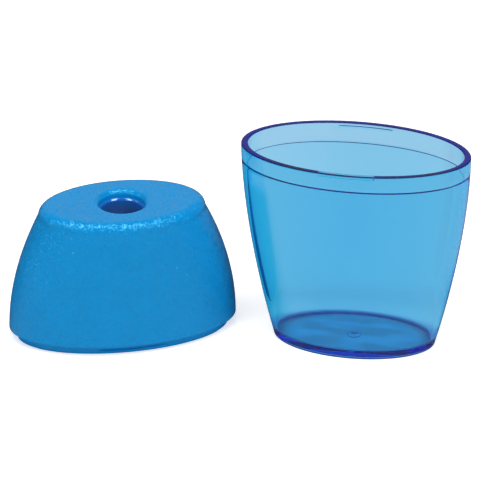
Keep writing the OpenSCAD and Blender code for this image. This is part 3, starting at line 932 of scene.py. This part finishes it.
forth, sideways = along(tree, spot, FORWARD), along(tree, spot, RIGHT)
slanted = add_node(tree, "Math", {0: forth, 1: CAST_SLANT, 2: sideways}, operation="MULTIPLY_ADD")
cast = add_node(tree, "Math", {0: carried(tree, slanted.outputs["Value"], CAST_EDGE, (1.0, 0.0)),
                               1: carried(tree, forth, CAST_END, (1.0, 0.0))}, operation="MULTIPLY")
cast = blended(tree, cast.outputs["Value"], WHITE, CAST_SHADE)
slanting = add_node(tree, "Mapping", {"Vector": spot, "Rotation": (0, 0, PATCH_TURN), "Scale": PATCH_SCALE})
patches = add_node(tree, "TexNoise", {"Vector": slanting.outputs["Vector"], "Scale": 1.0, "Detail": 1.0})
patches = carried(tree, patches.outputs["Fac"], PATCH_SPAN, PATCH_LIGHT)
under_cup = carried(tree, outwards, [size / widest for size in UNDER_CUP], (1.0, 0.0))
patches = blended(tree, under_cup, WHITE, patches)
blue_shade = times(tree, times(tree, shade.outputs["Color"], cast), patches)
print(f"cast shadow ends {1000 * CAST_END[1]:.0f} mm behind the cup")

# %% Finish the paper
PAPER, PAPER_UNDER_CUP = (0.75, 0.75, 0.75, 1), (0.12, 0.12, 0.12, 1)
GLOW = {"Is Camera Ray": 0.62, "Is Transmission Ray": 0.83}
MIRRORED_PAPER = (0.42, 0.05)              # grey of the paper in a gloss, before and behind the object
MIRRORED_RIGHT = 0.4                       # the same beyond the cup's right end
through_cup = times(tree, PAPER_UNDER_CUP, blue_shade)
colour = blended(tree, rays["Is Transmission Ray"], PAPER, through_cup)
in_gloss = largest(tree, carried(tree, forth, (-rim_b, rim_b), MIRRORED_PAPER),
                   carried(tree, sideways, (rim_a, 2 * rim_a), (0.0, MIRRORED_RIGHT)))
colour = blended(tree, mirror_rays(tree), colour, in_gloss)
matt = add_node(tree, "BsdfDiffuse", {"Color": colour}).outputs["BSDF"]
strength = 0.0
for kind, share in GLOW.items():
    sum_so_far = add_node(tree, "Math", {0: rays[kind], 1: share, 2: strength}, operation="MULTIPLY_ADD")
    strength = sum_so_far.outputs["Value"]
tone = blended(tree, rays["Is Transmission Ray"], WHITE, blue_shade)
glow = add_node(tree, "Emission", {"Color": tone, "Strength": strength}).outputs["Emission"]
both = add_node(tree, "AddShader", {0: matt, 1: glow}).outputs["Shader"]
nothing = add_node(tree, "BsdfTransparent").outputs["BSDF"]
under_side = add_node(tree, "NewGeometry").outputs["Backfacing"]
one_sided = add_node(tree, "MixShader", {"Fac": under_side, 1: both, 2: nothing}).outputs["Shader"]
tree.links.new(one_sided, tree.nodes["Material Output"].inputs["Surface"])
floor_mesh.materials.append(paper)
print("finished", paper.name)

# %% [markdown]
# The camera looks down at the pair through a long lens, as in a product photograph, so upright edges stay
# nearly parallel. Its place is given by a target, a distance and two angles, because these are easier to
# adjust than six numbers.

# %% Place the camera
CAMERA_RISE, CAMERA_AWAY = 27.77, 1.387    # degrees above level, and metres
SENSOR_WIDTH, LENS = 36.0, 535.4           # millimetres
look_at = Vector((-21.95, -4.40, 21.18)) * MM


def around(target, turn, rise, away):
    """A point at a turn to the right of the target's front, a rise above level and a distance."""
    turn, rise = math.radians(turn), math.radians(rise)
    flat = math.cos(rise)
    return target + away * Vector((math.sin(turn) * flat, -math.cos(turn) * flat, math.sin(rise)))


def aim(thing, turn, rise, away):
    """Put a camera or a lamp round the target and turn it to face it."""
    bpy.context.scene.collection.objects.link(thing)
    thing.location = around(look_at, turn, rise, away)
    thing.rotation_euler = (look_at - thing.location).to_track_quat("-Z", "Y").to_euler()


lens = bpy.data.cameras.new("camera")
lens.sensor_width, lens.lens = SENSOR_WIDTH, LENS
lens.clip_end = 20.0
camera = bpy.data.objects.new("camera", lens)
aim(camera, CAMERA_TURN, CAMERA_RISE, CAMERA_AWAY)
bpy.context.scene.camera = camera
print("camera at", [round(c, 3) for c in camera.location])

# %% [markdown]
# Four soft boxes stand round the same target: one at either side, one far to the left that lights the
# lid's end, and a wide one overhead that gives the top its sheen. Small lamps would make hard spots on
# the grain. All keep off the clear cup, whose light comes from the paper and the sky.

# %% Hang the lamps
LAMP_AWAY = 1.2
lit_by_lamps = bpy.data.collections.new("lit_by_lamps")
for lit in (lid_shell, insert, sharp_blade, slotted_screw, white_floor):
    lit_by_lamps.objects.link(lit)


def soft_box(name, turn, rise, width, height, power, lit=lit_by_lamps):
    """A lamp of a width, a height and a power in watts that the camera itself does not see."""
    data = bpy.data.lights.new(name, "AREA")
    data.shape = "RECTANGLE"
    data.size, data.size_y = width, height
    data.energy = power
    lamp = bpy.data.objects.new(name, data)
    aim(lamp, CAMERA_TURN + turn, rise, LAMP_AWAY)
    lamp.visible_camera = False
    lamp.light_linking.receiver_collection = lit
    print(name, power, "W")
    return lamp


soft_box("left_lamp", -46, 34, 0.4, 0.4, 1.2)
soft_box("right_lamp", 44, 38, 0.45, 0.4, 2.9)
soft_box("side_lamp", -85, 28, 0.35, 0.7, 0.9)
soft_box("top_lamp", 0, 75, 1.2, 0.4, 12.6)

# %% [markdown]
# Deep in the pencil hole the rounded mouth of the bore shows a glint at either side. The soft boxes are
# too small to reach it past the hole's edge, and larger ones would flood the lid. So two tall lamps light
# the insert alone, and only its gloss.

# %% Put a glint into the bore's mouth
GLINT_TURN, GLINT_RISE = 42, 38
lit_by_glints = bpy.data.collections.new("lit_by_glints")
lit_by_glints.objects.link(insert)
for side, turn in (("left", -GLINT_TURN), ("right", GLINT_TURN)):
    glint = soft_box(side + "_glint", turn, GLINT_RISE, 0.5, 0.8, 11.0, lit_by_glints)
    glint.visible_diffuse = False

# %% [markdown]
# Standard shows a colour as it is written, where a film-like transform would dull the bright blue. Light
# that is caught in the cup's wall bounces many times before it gets out at the rim or the foot. With few
# bounces those edges would turn black, so they get plenty.

# %% Choose how colours and light paths are worked out
BOUNCES = 40
bpy.context.scene.view_settings.view_transform = "Standard"
paths = bpy.context.scene.cycles
paths.max_bounces = paths.glossy_bounces = paths.transmission_bounces = BOUNCES
print("up to", paths.max_bounces, "bounces")
